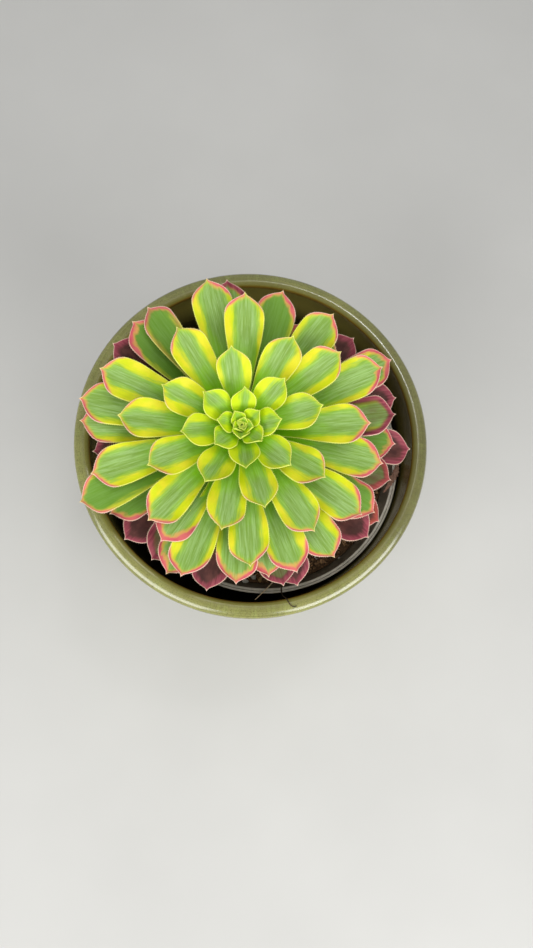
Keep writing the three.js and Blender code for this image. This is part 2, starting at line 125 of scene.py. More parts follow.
# Soil
SOIL_TOP = 99
SOIL_CROWN = 3
SOIL_GAP = 0.3
SOIL_LUMPS = ((0.8, 0.42, 0.12, 1.3), (0.6, -0.25, 0.38, 0.4), (0.4, 0.3, 0.5, 2.1))
SOIL_LUMPS_FADE = 6
SOIL_FOOT_ROUND = 2
CRUMB_HEIGHT = 0.9
CRUMB_SCALE = 0.55
SOIL_SIDES = 260
SOIL_RINGS = 95

# Loose pieces sink in by this share of their height, and some perlite and grit has its own place
SINK = 0.2
PERLITE_PLACES = ((-2.2, -59.2), (1.8, -57.6), (49, -42.8), (41, -49.2), (30.2, -48.5), (-25.9, -52))
GRIT_PLACES = ((34.6, -43.9), (33, -45), (4.3, -58.6))

# Fine dry fibres on the soil
FIBRES = 170
FIBRE_RING = (26, 50)
FIBRE_LENGTHS = (4, 12)
FIBRE_RADII = (0.08, 0.2)
FIBRE_BEND = 0.9
FIBRE_LIFT = 0.75
FIBRE_ARCH = 1.4

# Rosette axis
ROSETTE_CENTRE = np.array((-5.9, -1.8, POT_HEIGHT + 27.5))
ROSETTE_LEAN = radians(5.5)

# The leaves are numbered outwards from the tip, each one a golden angle further round
GOLDEN_ANGLE = 180 * (3 - sqrt(5))
SPIRAL_START = 113
YOUNG_LEAD = 13
YOUNG_LEAD_FADE = 12
FIRST_LEAF = -4
YOUNGEST_LEAF = -14
YOUNGEST_SHRINK = 0.86
LAST_GREEN_LEAF = 61
LAST_LEAF = 83
SEED = 5.2

# Growth of a leaf with its number: reach, height of the tip, full width, arch in degrees
GROWTH = np.array((
    (-4, 2.0, 3.6, 3.4, 14),
    (0, 5.2, 5.6, 5.8, 14),
    (8, 17.0, 8.6, 11.2, 12),
    (16, 32.5, 8.0, 13.8, 11),
    (24, 46.0, 5.0, 15.0, 12),
    (34, 56.5, 0.5, 15.6, 14),
    (48, 61.0, -5.0, 15.8, 18),
    (64, 63.0, -15.0, 15.4, 22),
    (84, 63.5, -27.0, 14.5, 26),
))

# Leaves that grew out of line with the spiral, by the degrees that they are turned
TURNED = {
    -17.5: (20,),
    -12.5: (46, 50),
    -10: (18, 54, 56, 83),
    -7.5: (12, 17, 25, 33, 38, 40, 61),
    -5: (6, 10, 13, 15, 30, 31, 34, 41, 49, 51, 52, 57, 67, 69, 70),
    -2.5: (14, 19, 28, 39, 45, 62, 72, 75, 77),
    2.5: (21, 24, 35, 43, 48, 78),
    5: (1, 7, 8, 32),
    7.5: (4,),
    10: (37, 63),
    12.5: (64,),
    15: (74, 80),
    17.5: (29,),
}

# Leaves that reach further or less far than those beside them, by millimetres
STRETCHED = {
    -12: (52,),
    -10: (44,),
    -8: (48,),
    -6: (58,),
    -4: (66,),
    -3: (14, 20, 22, 39, 41, 51),
    -2: (9, 17, 28, 47, 50, 61),
    -1: (1, 4, 6, 7, 12, 42, 63, 69),
    1: (5, 8, 25, 33, 38, 45, 46, 56, 64),
    2: (10, 13, 18, 21, 23, 26, 31, 34, 36, 75, 77),
    3: (70, 72),
    4: (32, 35, 37, 67),
    5: (29, 57, 80),
    8: (40,),
    9: (83,),
}

# A leaf that is held up over its neighbour, and one that stayed narrow, by millimetres
RAISED = {6: (48,)}
NARROWED = {3: (42,)}

FALLEN = (53, 55, 59, 60, 65, 68, 71, 73, 76, 79, 81, 82)

# The widest yellow margin and the widest pink band of a leaf, in millimetres, by its number
COLOURED = np.array((
    (-14, 0.5, 0),
    (-4, 1.0, 0),
    (2, 2.3, 0),
    (8, 3.1, 0.05),
    (16, 3.4, 0.35),
    (24, 3.2, 0.9),
    (34, 2.9, 1.6),
    (46, 2.7, 1.9),
    (61, 2.1, 1.9),
    (83, 0.8, 2.1),
))

# Leaves that begin to turn maroon, and how far, those that turn brick red, and the dark green ones, whose
# darkness is partly their own colour and partly painted shade
TURNING = {42: 0.12, 47: 0.3, 49: 0.5, 54: 0.08, 62: 0.0, 64: 0.66, 69: 0.7, 75: 0.66, 80: 0.85}
BRICK_RED = {54: 0.6, 75: 0.6, 80: 1.0}
DARK_GREEN = (39, 40, 42, 44, 50, 54, 61, 62)

# Where a leaf's root sits in the crown
ROOT_TOP = -3
ROOT_STEP = 0.45
OLD_ROOT_DROP = 3.6
ROOT_DEPTH = 0.5

# Blade outline
ROOT_WIDTH = 0.34
YOUNG_ROOT = 0.3
YOUNG_ROOT_FADE = 8
ROOT_SPREAD = 1.5
POINT_LENGTH = 0.62
POINT_CURVE = 2.9
POINT_DRAWN = 1.12
YOUNG_DRAWN = 0.45
SHOULDER_RANGE = (0.5, 0.88)
SHOULDER_VARIES = 0.03
MUCRO_LENGTH = 0.95
MUCRO_RADIUS = 0.46

# Blade section
BLADE_THICK = 2.0
BLADE_THIN = 0.9
BLADE_EDGE = 0.34
BLADE_CUP = 0.15
YOUNG_CUP = 0.4
YOUNG_CUP_FADE = 6
CUP_VARIES = 0.3
BLADE_ROLL = radians(6)
RIB_DEPTH = 0.16
RIB_WIDTH = 1.1
WAVE_HEIGHT = 0.4
WAVE_LENGTH = 11

# Blade mesh
BLADE_COLUMNS = 19
STALK_ROWS = 26
POINT_ROWS = 26
MUCRO_ROWS = 4

# Fine teeth along the blade's edges
TOOTH_SPACING = 0.8
TOOTH_LENGTH = 0.34
TOOTH_BASE = 0.3
TOOTH_SINK = 0.12
TOOTHED_SHARE = (0.3, 0.985)
TOOTHED_LENGTH = 4

# Crown
CROWN_RADIUS = 5.5
CROWN_TIP_RADIUS = 0.8
CROWN_TIP = 1
CROWN_SHOULDER = -18
GREEN_CROWN_END = -32.6
OLD_CROWN_END = -46
CROWN_SIDES = 48
CROWN_ROWS = 60

# Stem
STEM_RADIUS = 5.2
STEM_FOOT_RADIUS = 6.4
STEM_FOOT = np.array((1, -1, stem_low[2]))
STEM_RISE = 16
STEM_TURN = 12
STEM_SIDES = 56
STEM_ROWS = 120

# The stem and the crowns end this far from where they meet
JOINT_GAP = 0.15


def srgb(code):
    """Linear colour of a six-digit colour code."""
    values = [int(code[i:i + 2], 16) / 255 for i in (0, 2, 4)]
    linear = [v / 12.92 if v <= 0.04045 else ((v + 0.055) / 1.055) ** 2.4 for v in values]
    return (*linear, 1.0)


def smoothstep(value, start=0, end=1):
    """0 up to the start, 1 from the end on, and smooth between them."""
    t = np.clip((value - start) / (end - start), 0, 1)
    return t * t * (3 - 2 * t)


def lerp(a, b, t):
    return a + (b - a) * t


def draw(leaf, trait):
    """A repeatable draw from -1 to 1 for one trait of one numbered leaf."""
    wave = sin(leaf * 12.9898 + trait * 78.233 + SEED) * 43758.5453
    return 2 * (wave % 1) - 1


def full_turn(sides):
    """Angles of points that stand evenly round a circle."""
    return np.arange(sides) / sides * 2 * pi


def towards(angle):
    """A step of length 1 in a plane."""
    return np.array((cos(angle), sin(angle)))


def unit(vectors):
    """Vectors with the same headings and a length of 1."""
    return vectors / np.maximum(np.linalg.norm(vectors, axis=-1, keepdims=True), 1e-6)


def distances(line):
    """How far along a line each of its points is."""
    return np.hstack(((0,), np.cumsum(np.linalg.norm(np.diff(line, axis=0), axis=1))))


def cubic(start, end, leave, arrive, t):
    """A smooth run from the start to the end, with the slopes that it leaves and arrives with."""
    return (
        start * (1 + 2 * t) * (1 - t) ** 2 + leave * t * (1 - t) ** 2
        + end * t * t * (3 - 2 * t) - arrive * t * t * (1 - t)
    )


def add_object(name, data):
    item = bpy.data.objects.new(name, data)
    scene.collection.objects.link(item)
    return item


# Materials

# What a leaf's mesh tells its paint, first point by point and then of the leaf as a whole
BLADE_TRAITS = ("across", "along", "share", "edge", "inner", "flush", "under")
LEAF_TRAITS = ("turning", "brick", "shade", "youth", "mark")


class Signal:
    """One value in a material's node tree. Each step from it to another one adds a node."""

    def __init__(self, paint, socket):
        self.paint = paint
        self.socket = socket

    def __add__(self, other):
        return self.paint.math("ADD", self, other)

    def __sub__(self, other):
        return self.paint.math("SUBTRACT", self, other)

    def __rsub__(self, other):
        return self.paint.math("SUBTRACT", other, self)

    def __mul__(self, other):
        return self.paint.math("MULTIPLY", self, other)

    __radd__ = __add__
    __rmul__ = __mul__

    def ramp(self, start, end):
        """0 at the start, 1 at the end, and smooth between them."""
        node = self.paint.node("MapRange", Value=self, From_Min=start, From_Max=end)
        node.interpolation_type = "SMOOTHSTEP"
        return Signal(self.paint, node.outputs["Result"])

    def fade(self, start, end, first, second):
        """The first colour up to the start, the second from the end on, and a blend between them."""
        return self.paint.blend(self.ramp(start, end), first, second)

    def tint(self, share, colour):
        """This colour, with a share of another one over it."""
        return self.paint.blend(share, self, colour)


class Paint:
    """A procedural material, built up from small steps."""

    def __init__(self, name, **inputs):
        self.material = bpy.data.materials.new(name)
        self.material.use_nodes = True
        self.tree = self.material.node_tree
        self.shader = self.tree.nodes["Principled BSDF"]
        self.fill(self.shader, inputs)

    def node(self, kind, **inputs):
        node = self.tree.nodes.new("ShaderNode" + kind)
        self.fill(node, inputs)
        return node

    def fill(self, node, inputs):
        """Gives the node's inputs their signals, numbers or colours by their codes."""
        for name, value in inputs.items():
            self.plug(node.inputs[name.replace("_", " ")], value)

    def plug(self, socket, value):
        if isinstance(value, Signal):
            self.tree.links.new(value.socket, socket)
        else:
            socket.default_value = srgb(value) if isinstance(value, str) else value

    def math(self, operation, a, b=0.0):
        node = self.node("Math")
        node.operation = operation
        self.plug(node.inputs[0], a)
        self.plug(node.inputs[1], b)
        return Signal(self, node.outputs[0])

    def trait(self, name):
        """A value that the mesh holds for each of its points."""
        node = self.node("Attribute")
        node.attribute_name = name
        return Signal(self, node.outputs["Fac"])

    def place(self):
        """X, Y and Z of the surface in millimetres."""
        coordinates = self.node("TexCoord")
        split = self.node("SeparateXYZ")
        self.tree.links.new(coordinates.outputs["Object"], split.inputs[0])
        return [Signal(self, split.outputs[i]) * (1 / MM) for i in range(3)]

    def vector(self, x, y, z):
        node = self.node("CombineXYZ")
        for socket, value in zip(node.inputs, (x, y, z)):
            self.plug(socket, value)
        return Signal(self, node.outputs[0])

    def noise(self, place, scale, detail=2.0, roughness=0.5):
        vector = self.vector(*place)
        node = self.node("TexNoise", Vector=vector, Scale=scale, Detail=detail, Roughness=roughness)
        return Signal(self, node.outputs["Fac"])

    def cells(self, place, scale):
        """Distance to the nearest of many scattered spots."""
        node = self.node("TexVoronoi", Vector=self.vector(*place), Scale=scale)
        return Signal(self, node.outputs["Distance"])

    def blend(self, share, first, second):
        node = self.node("Mix")
        node.data_type = "RGBA"
        self.plug(node.inputs[0], share)
        self.plug(node.inputs[6], first)
        self.plug(node.inputs[7], second)
        return Signal(self, node.outputs[2])

    def bump(self, height, depth):
        """Relief of this depth in millimetres, from a height of 0 to 1."""
        node = self.node("Bump", Strength=1.0, Distance=depth * MM, Height=height)
        self.fill(self.shader, {"Normal": Signal(self, node.outputs["Normal"])})

    def finish(self, colour, roughness):
        self.fill(self.shader, {"Base Color": colour, "Roughness": roughness})
        return self.material


def leaf_paint():
    """Green centre with pale streaks, yellow margins, a pink band and a cream edge; maroon with age."""
    paint = Paint("leaf", IOR=1.42, Specular_IOR_Level=0.4)
    across, along, share, edge, inner, flush, under = map(paint.trait, BLADE_TRAITS)
    turning, brick, shade, youth, mark = map(paint.trait, LEAF_TRAITS)
    lane = (across, along * 0.05, mark)
    streak = paint.noise(lane, 1.3)
    thread = paint.noise(lane, 3.8, 3.0)
    feather = paint.noise((across, along * 0.14, mark), 0.9, 4.0, 0.6)
    cloud = paint.noise((across * 0.5, along * 0.3, mark), 0.55, 3.0)
    fray = feather - 0.5
    haze = cloud - 0.5

    sage = streak.fade(0.3, 0.7, "7e9f42", "9abd6e")
    sage = sage.tint(thread.ramp(0.56, 0.72) * 0.45, "b8da96")
    sage = sage.tint(thread.ramp(0.45, 0.33) * 0.5, "6c9030")
    lime = thread.fade(0.4, 0.65, "88be1e", "a2ce3a")
    centre = paint.blend((inner + fray * 3).ramp(2.4, -0.2) * 0.6, sage, lime)
    # Leaf bases fade to a bright, saturated lime: partly the leaves' own colour, partly painted light
    # that lifts the shade between the leaf bases.
    base = paint.blend(youth, "8ed000", "b8e400")
    centre = (share + haze * 0.3).fade(0.76, 0.32, centre, base)
    # Partly painted shade: the dark green leaves, some of which lie in shade, have their centres
    # darkened.
    centre = centre.tint(shade * 0.8, "5f8c24")

    border = inner + fray * 3.2 + (streak - 0.5) * 0.9
    yellow = cloud.fade(0.35, 0.65, "ced804", "e4da26")
    yellow = yellow.tint(youth.ramp(0.0, 0.3) * 0.8, "cae400")
    yellow = share.fade(0.7, 0.35, yellow, "aed404")
    # Partly painted shade, as above: the dark green leaves' yellow margins are darkened too.
    yellow = yellow.tint(shade * 0.55, "b3bd3c")
    skin = border.fade(-1.3, 0.9, yellow, centre)
    skin = skin.tint(youth * 0.2, "bce410")

    rim = edge + fray * 0.8
    blush = flush * (cloud.ramp(0.3, 0.7) * 0.8 + 0.55)
    peach = (blush * 1.6 - rim).ramp(-0.8, 1.1) * flush.ramp(0.05, 0.6)
    skin = skin.tint(peach * 0.8, "e8a35c")
    rose = cloud.fade(0.35, 0.65, "cc4c60", "dc6e6c")
    skin = skin.tint((blush - rim).ramp(-0.4, 0.6) * flush.ramp(0.05, 0.5), rose)

    heart = cloud.fade(0.35, 0.7, "43231f", "603630")
    wine = streak.fade(0.3, 0.7, "7a2c3a", "a04c56")
    wine = wine.tint(brick * 0.85, "b0503a")
    old = (edge + fray * 3 - flush).fade(2.2, -0.4, heart, wine)
    old = old.tint(rim.ramp(0.9, 0.1) * 0.5, "bc5268")
    stain = (edge.ramp(3.4, 0.4) * 0.55 + haze * 0.5) * turning.ramp(0.0, 0.2)
    skin = (turning + stain).fade(0.1, 0.95, skin, old)

    pale = paint.blend(youth, "a6bf76", "bce23c")
    pale = pale.tint(turning, "7c4a50")
    skin = skin.tint(under * 0.5, pale)
    cream = (flush + turning).fade(0.0, 0.7, "eef07c", "f6dcc0")
    line = (edge + (thread - 0.5) * 0.3).ramp(0.22, 0.02)
    skin = skin.tint(line * 0.75, cream)

    paint.bump(streak * 0.6 + thread * 0.4, 0.1)
    gloss = 0.52 - haze * 0.25 + turning * 0.04
    return paint.finish(skin, gloss)


def glaze_paint():
    """Glossy olive glaze: fine streaks round the rim, dark speckle, amber where it runs thin, and painted
    shade deep inside and on the right side.
    """
    paint = Paint("glaze", Coat_Roughness=0.17, Coat_IOR=1.75, IOR=1.5)
    x, y, z = paint.place()
    turn = paint.trait("turn")
    bare = paint.trait("bare")
    radius = paint.math("SQRT", x * x + y * y)
    around = paint.math("ARCTAN2", y, x)
    throwing = paint.noise((around * 2.0, radius * 2.2, z * 1.7), 1.0, 3.0)
    runs = paint.noise((around * 60, turn * 1.5, z * 0.05), 1.0, 3.0)
    patches = paint.noise((x, y, z), 0.06, 3.0)
    grain = paint.noise((x, y, z), 2.2, 2.0)
    specks = paint.cells((x, y, z), 0.9)
    olive = patches.fade(0.35, 0.65, "7a7a36", "8f8e48")
    olive = olive.tint(throwing.ramp(0.4, 0.7) * 0.45, "a3a05c")
    on_rim = turn.ramp(0.0, 0.2)
    olive = olive.tint(runs.ramp(0.45, 0.7) * on_rim * 0.4, "98a24e")
    olive = olive.tint(grain.ramp(0.5, 0.68) * 0.65, "565820")
    olive = olive.tint(specks.ramp(0.22, 0.08) * 0.55, "3c3a16")
    brownish = grain.fade(0.3, 0.7, "6c6430", "857c42")
    olive = olive.tint(turn.ramp(0.35, 0.75) * 0.6, brownish)
    # The turn made a little uneven. It places the amber where the glaze runs thin at the inner edge, and
    # the depth inside the pot.
    ragged_turn = turn + (throwing - 0.5) * 0.08 + (runs - 0.5) * 0.06
    olive = olive.tint(ragged_turn.ramp(0.74, 0.9) * 0.8, "7d5d12")
    # Painted shade deep in the pot: the inner wall is paler just under the rim and darkens further down.
    olive = ragged_turn.fade(1.0, 1.1, olive, "948a44")
    olive = ragged_turn.fade(1.25, 1.8, olive, "443e1e")
    # Painted shade: on the right (+X) side the rim and the inside of the pot are darkened.
    painted_shade_right = paint.math("COSINE", around).ramp(0.5, 0.95) * on_rim
    olive = olive.tint(painted_shade_right * 0.42, "342a10")
    clay = grain.fade(0.3, 0.7, "b59c78", "9a8262")
    colour = paint.blend(bare, olive, clay)
    paint.fill(paint.shader, {"Coat Weight": 1 - turn.ramp(0.52, 0.6) * 0.85})
    paint.bump(throwing * 0.7 + grain * 0.3, 0.05)
    return paint.finish(colour, bare.ramp(0.0, 1.0) * 0.6 + 0.24 + (grain - 0.5) * 0.1)


def plastic_paint():
    """Thin taupe plastic with moulding marks, and the top of its lip painted pale: a film of dust, and
    painted light.
    """
    paint = Paint("nursery_plastic", IOR=1.46)
    x, y, z = paint.place()
    dust = paint.noise((x, y, z), 0.25, 5.0, 0.65)
    marks = paint.noise((x * 0.3, y * 0.3, z * 4.0), 1.0)
    taupe = dust.fade(0.4, 0.65, "675e50", "877c6a")
    taupe = taupe.tint(marks.ramp(0.5, 0.8) * 0.3, "504838")
    dust_and_painted_light = dust.fade(0.4, 0.65, "d9d2c0", "ece4d4")
    # The lip's top is painted pale: partly a film of dust, partly painted light where the top catches the
    # light.
    taupe = z.fade(NURSERY_TOP - 0.45, NURSERY_TOP - 0.1, taupe, dust_and_painted_light)
    paint.bump(marks, 0.05)
    return paint.finish(taupe, 0.42 + dust * 0.3)


def loose_paint(name, dark, light, mottle, roughness=0.9):
    """One of the soil's ingredients, mottled at its own scale and with each piece a little different."""
    paint = Paint(name)
    mark = paint.trait("mark")
    spots = paint.noise(paint.place(), mottle, 5.0, 0.65)
    colour = (spots * 0.6 + mark * 0.4).fade(0.25, 0.75, dark, light)
    paint.bump(spots, 0.3)
    return paint.finish(colour, roughness)


def bark_paint():
    """Dull woody bark with darker leaf scars and fine lengthwise cracks."""
    paint = Paint("bark")
    x, y, z = paint.place()
    scar = paint.trait("scar")
    cracks = paint.noise((x * 1.4, y * 1.4, z * 0.35), 1.0, 5.0, 0.6)
    patches = paint.noise((x, y, z), 0.3, 3.0)
    wood = cracks.fade(0.35, 0.65, "5f4a30", "9a835c")
    wood = wood.tint(patches.ramp(0.5, 0.75) * 0.6, "8b8560")
    wood = wood.tint(scar, "453324")
    paint.bump(cracks, 0.35)
    return paint.finish(wood, 0.86)


def crown_paint():
    """Fleshy green crown that turns woody and maroon further down."""
    paint = Paint("crown", Specular_IOR_Level=0.35)
    age = paint.trait("age")
    scar = paint.trait("scar")
    mottle = paint.noise(paint.place(), 0.7, 4.0)
    green = mottle.fade(0.35, 0.65, "7d9c3a", "a3bb5c")
    wood = mottle.fade(0.35, 0.65, "6e4a3a", "8f6a4e")
    skin = paint.blend(age, green, wood)
    skin = skin.tint(scar * 0.6, "5c3a2a")
    paint.bump(mottle, 0.2)
    return paint.finish(skin, 0.65)


def strand_paint(name, dark, light):
    """A dry stalk or strand, with its fibres lengthwise."""
    paint = Paint(name)
    mottle = paint.noise(paint.place(), 1.3, 4.0)
    paint.bump(mottle, 0.1)
    return paint.finish(mottle.fade(0.35, 0.65, dark, light), 0.7)


def floor_paint():
    paint = Paint("floor")
    cloud = paint.noise(paint.place(), 0.01, 3.0)
    return paint.finish(paint.blend(cloud, "c2c1bd", "cecdc9"), 0.75)


# Meshes


class Body:
    """Collects points, faces and the traits of the points, and becomes one object."""

    def __init__(self):
        self.points = []
        self.faces = []
        self.traits = {}
        self.count = 0

    def add(self, points, faces, **traits):
        points = np.asarray(points, float).reshape(-1, 3)
        self.faces.extend([[i + self.count for i in face] for face in faces])
        for name, values in traits.items():
            block = np.broadcast_to(np.ravel(values), len(points))
            self.traits.setdefault(name, []).append(block)
        self.points.append(points)
        self.count += len(points)

    def bare_mesh(self, name):
        mesh = bpy.data.meshes.new(name)
        mesh.from_pydata((np.vstack(self.points) * MM).tolist(), [], self.faces)
        return mesh

    def make(self, name, material, replaced=None, smooth=True):
        mesh = self.bare_mesh(name)
        for trait, blocks in self.traits.items():
            attribute = mesh.attributes.new(trait, "FLOAT", "POINT")
            attribute.data.foreach_set("value", np.hstack(blocks).astype(np.float32))
        mesh.materials.append(material)
        mesh.polygons.foreach_set("use_smooth", [smooth] * len(mesh.polygons))
        mesh.validate()
        mesh.update()
        piece = add_object(name, mesh)
        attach(piece, "root")
        if replaced:
            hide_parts(replaced)
        return piece


def capped(rings, flip=False):
    """A closed body over rings of points, with a fan at each end. Where the rings turn with the
    right hand on their way along it, the faces are flipped."""
    rings = np.asarray(rings, float)
    count, sides, _ = rings.shape
    start = count * sides
    last = start - sides
    neighbours = [(s, (s + 1) % sides) for s in range(sides)]
    faces = []
    for r in range(0, last, sides):
        faces += [(r + s, r + sides + s, r + sides + n, r + n) for s, n in neighbours]
    for s, n in neighbours:
        faces += [(start, s, n), (start + 1, last + n, last + s)]
    if flip:
        faces = [face[::-1] for face in faces]
    return np.vstack((rings.reshape(-1, 3), rings[0].mean(0), rings[-1].mean(0))), faces


def with_ends(values, ends=(0, 0)):
    """Values for the points of a closed body's rings, and for the middles of its two fans."""
    return np.hstack((np.ravel(values), ends))


def turned(profile, sides, centre=(0, 0)):
    """A closed body turned about an upright axis, flat between the profile's ends and the axis."""
    radii, heights = np.asarray(profile, float).T[:, :, None]
    angles = full_turn(sides)
    x = radii * np.cos(angles) + centre[0]
    y = radii * np.sin(angles) + centre[1]
    z = np.broadcast_to(heights, x.shape)
    return capped(np.stack((x, y, z), -1), flip=True)


def arc(centre_radius, centre_height, radius, start, end, steps):
    angles = np.radians(np.linspace(start, end, steps + 1))
    return [(centre_radius + radius * cos(a), centre_height + radius * sin(a)) for a in angles]


def smooth_curve(knots, steps):
    """A curve through the knots, for a profile or a strand."""
    knots = np.asarray(knots, float)
    slopes = np.gradient(knots, axis=0)
    points = []
    for k in range(len(knots) - 1):
        for t in np.arange(steps) / steps:
            points.append(cubic(knots[k], knots[k + 1], slopes[k], slopes[k + 1], t))
    points.append(knots[-1])
    return np.array(points)


# Cachepot


def rim_half(side, depth):
    """A quarter of an oval, from the rim's crest down to its outer or inner side."""
    angles = np.linspace(0, pi / 2, RIM_STEPS + 1)
    return [(lerp(RIM_CREST, side, sin(a)), POT_HEIGHT - depth * (1 - cos(a))) for a in angles]


def cachepot():
    """The glazed pot. Its turn is 0 outside, 0.5 on the rim's crest, and 1 or more inside."""
    foot_inside = FOOT_RADIUS - FOOT_RING
    belly = [(POT_RADIUS - inset, height) for height, inset in POT_BELLY]
    base = arc(FOOT_RADIUS, POT_BASE_LIFT + POT_BASE_ROUND, POT_BASE_ROUND, *POT_BASE_ARC, 10)
    rim = rim_half(POT_RADIUS, RIM_OUTER_ROUND)[::-1]
    rim += rim_half(POT_RADIUS - RIM_WIDTH, RIM_INNER_ROUND)[1:]
    wall = smooth_curve([base[-1], *belly, rim[0]], 8)
    bend = POT_FLOOR_ROUND
    floor = arc(POT_FLOOR_RADIUS - bend, POT_FLOOR + bend, bend, 0, -90, 8)
    inside = smooth_curve([rim[-1], *[(r - POT_WALL, h) for r, h in belly[::-1]], floor[0]], 8)
    outdoors = [
        (foot_inside - FOOT_CHAMFER, FOOT_RECESS), (foot_inside, FOOT_EDGE), (foot_inside + FOOT_EDGE, 0),
        (FOOT_RADIUS - FOOT_EDGE, 0), (FOOT_RADIUS, FOOT_EDGE), *base[:-1], *wall[:-1],
    ]
    indoors = [*inside[1:-1], *floor, (POT_FLOOR_RADIUS * 0.4, POT_FLOOR)]
    points, faces = turned([*outdoors, *rim, *indoors], POT_SIDES)
    turns = np.hstack((
        np.zeros(len(outdoors)),
        np.linspace(0, 1, len(rim)),
        [1 + (POT_HEIGHT - height) / INSIDE_TURN for _, height in indoors],
    ))
    x, y, height = points.T
    shrink = POT_SHRINK - POT_OVAL * np.sin(2 * np.arctan2(y, x) + 0.7)
    points[:, :2] *= (1 - shrink * smoothstep(height, *SHRINK_HEIGHTS))[:, None]
    bare = 1 - smoothstep(height, *BARE_FOOT)
    body = Body()
    body.add(points, faces, turn=with_ends(np.repeat(turns, POT_SIDES), turns[[0, -1]]), bare=bare)
    body.make("cachepot_glazed", glaze_paint(), "cachepot")


# Nursery pot


def nursery_radius(height):
    rise = (height - POT_FLOOR) / (NURSERY_TOP - POT_FLOOR)
    return lerp(NURSERY_BASE_RADIUS, NURSERY_RADIUS - NURSERY_OVERHANG, rise)


def cut_holes(piece, bodies):
    """Cuts the bodies' shapes out of the piece."""
    cutter = add_object("cutter", bodies.bare_mesh("cutter"))
    modifier = piece.modifiers.new("holes", "BOOLEAN")
    modifier.object = cutter
    modifier.operation = "DIFFERENCE"
    modifier.solver = "EXACT"
    depsgraph = bpy.context.evaluated_depsgraph_get()
    piece.data = bpy.data.meshes.new_from_object(piece.evaluated_get(depsgraph))
    piece.modifiers.clear()
    bpy.data.objects.remove(cutter)


def nursery_pot():
    floor = NURSERY_BASE + NURSERY_WALL
    under = NURSERY_TOP - NURSERY_LIP_DEPTH
    outer = NURSERY_RADIUS
    inner = NURSERY_RADIUS - NURSERY_LIP
    top = NURSERY_TOP
    profile = [(NURSERY_BASE_RADIUS - NURSERY_BASE_ROUND, NURSERY_BASE)]
    profile += arc(
        nursery_radius(NURSERY_BASE + NURSERY_BASE_ROUND) - NURSERY_BASE_ROUND,
        NURSERY_BASE + NURSERY_BASE_ROUND, NURSERY_BASE_ROUND, -80, 0, 5,
    )
    profile += [(nursery_radius(h), h) for h in np.linspace(NURSERY_BASE + 6, under - 6, 12)]
    profile += [(nursery_radius(under), under), (outer - LIP_UNDER_ROUND - 0.1, under)]
    profile += arc(outer - LIP_UNDER_ROUND, under + LIP_UNDER_ROUND, LIP_UNDER_ROUND, -90, 0, 3)
    profile += arc(outer - LIP_OUTSIDE_ROUND, top - LIP_OUTSIDE_ROUND, LIP_OUTSIDE_ROUND, 0, 80, 5)
    groove = outer - LIP_GROOVE
    for share, depth in ((0.5, 0), (0.3, GROOVE_DEPTH), (-0.3, GROOVE_DEPTH), (-0.5, 0)):
        profile.append((groove + share * GROOVE_WIDTH, top - depth))
    profile += arc(inner + LIP_INSIDE_ROUND, top - LIP_INSIDE_ROUND, LIP_INSIDE_ROUND, 90, 180, 6)
    profile += [(inner, top - 1.2), (nursery_radius(under) - NURSERY_WALL, under)]
    profile += [(nursery_radius(h) - NURSERY_WALL, h) for h in np.linspace(under - 6, floor + 4, 12)]
    profile.append((nursery_radius(floor) - NURSERY_WALL, floor))
    body = Body()
    body.add(*turned(profile, NURSERY_SIDES, NURSERY_CENTRE))
    piece = body.make("nursery_pot_shell", plastic_paint(), "nursery_pot")
    drills = Body()
    drill = [(DRAIN_HOLE_RADIUS, NURSERY_BASE - 2), (DRAIN_HOLE_RADIUS, floor + 2)]
    for angle in full_turn(DRAIN_HOLES):
        centre = NURSERY_CENTRE + DRAIN_RING_RADIUS * towards(angle)
        drills.add(*turned(drill, DRAIN_HOLE_SIDES, centre))
    cut_holes(piece, drills)


# Soil


def soil_radius(height):
    return nursery_radius(height) - NURSERY_WALL - SOIL_GAP


def soil_height(x, y):
    """Height of the soil's surface at a place measured from the nursery pot's axis."""
    edge = soil_radius(SOIL_TOP)
    radius = np.hypot(x, y)
    lumps = sum(h * np.sin(kx * x + ky * y + p) for h, kx, ky, p in SOIL_LUMPS)
    heap = SOIL_CROWN * (1 - (radius / edge) ** 2)
    return SOIL_TOP + heap + lumps * smoothstep(edge - radius, 0, SOIL_LUMPS_FADE)


def on_soil(x, y):
    """The point of the soil's surface at a place in the frame."""
    return np.array((x, y, soil_height(x - NURSERY_CENTRE[0], y - NURSERY_CENTRE[1])))


def soil_surface():
    """The soil, with a fine crumb on top that fades out towards its edge."""
    edge = soil_radius(SOIL_TOP)
    floor = NURSERY_BASE + NURSERY_WALL + SOIL_GAP
    angles = full_turn(SOIL_SIDES)
    wall = [(soil_radius(floor) - SOIL_FOOT_ROUND, floor), (soil_radius(floor), floor + SOIL_FOOT_ROUND)]
    wall += [(soil_radius(h), h) for h in (40, 70, 92)]
    rings = [[(r * cos(a), r * sin(a), h) for a in angles] for r, h in wall]
    for radius in np.linspace(edge, 0.4, SOIL_RINGS):
        crumb = CRUMB_HEIGHT * min(1, (edge + 0.2 - radius) / 2)
        ring = []
        for a in angles:
            x = radius * cos(a)
            y = radius * sin(a)
            rough = noise.fractal(Vector((x, y, 0)) * CRUMB_SCALE, 0.6, 2.1, 4)
            ring.append((x, y, soil_height(x, y) + crumb * rough))
        rings.append(ring)
    rings = np.array(rings)
    rings[:, :, :2] += NURSERY_CENTRE
    body = Body()
    body.add(*capped(rings, flip=True), mark=0.4)
    body.make("soil_surface", loose_paint("peat", "3a2a1b", "80603f", 0.9), "soil")


def rock_mesh(detail):
    """Points and faces of a small ball."""
    ball = bmesh.new()
    bmesh.ops.create_icosphere(ball, subdivisions=detail, radius=1)
    points = np.array([v.co for v in ball.verts])
    faces = [[v.index for v in f.verts] for f in ball.faces]
    ball.free()
    return points, faces


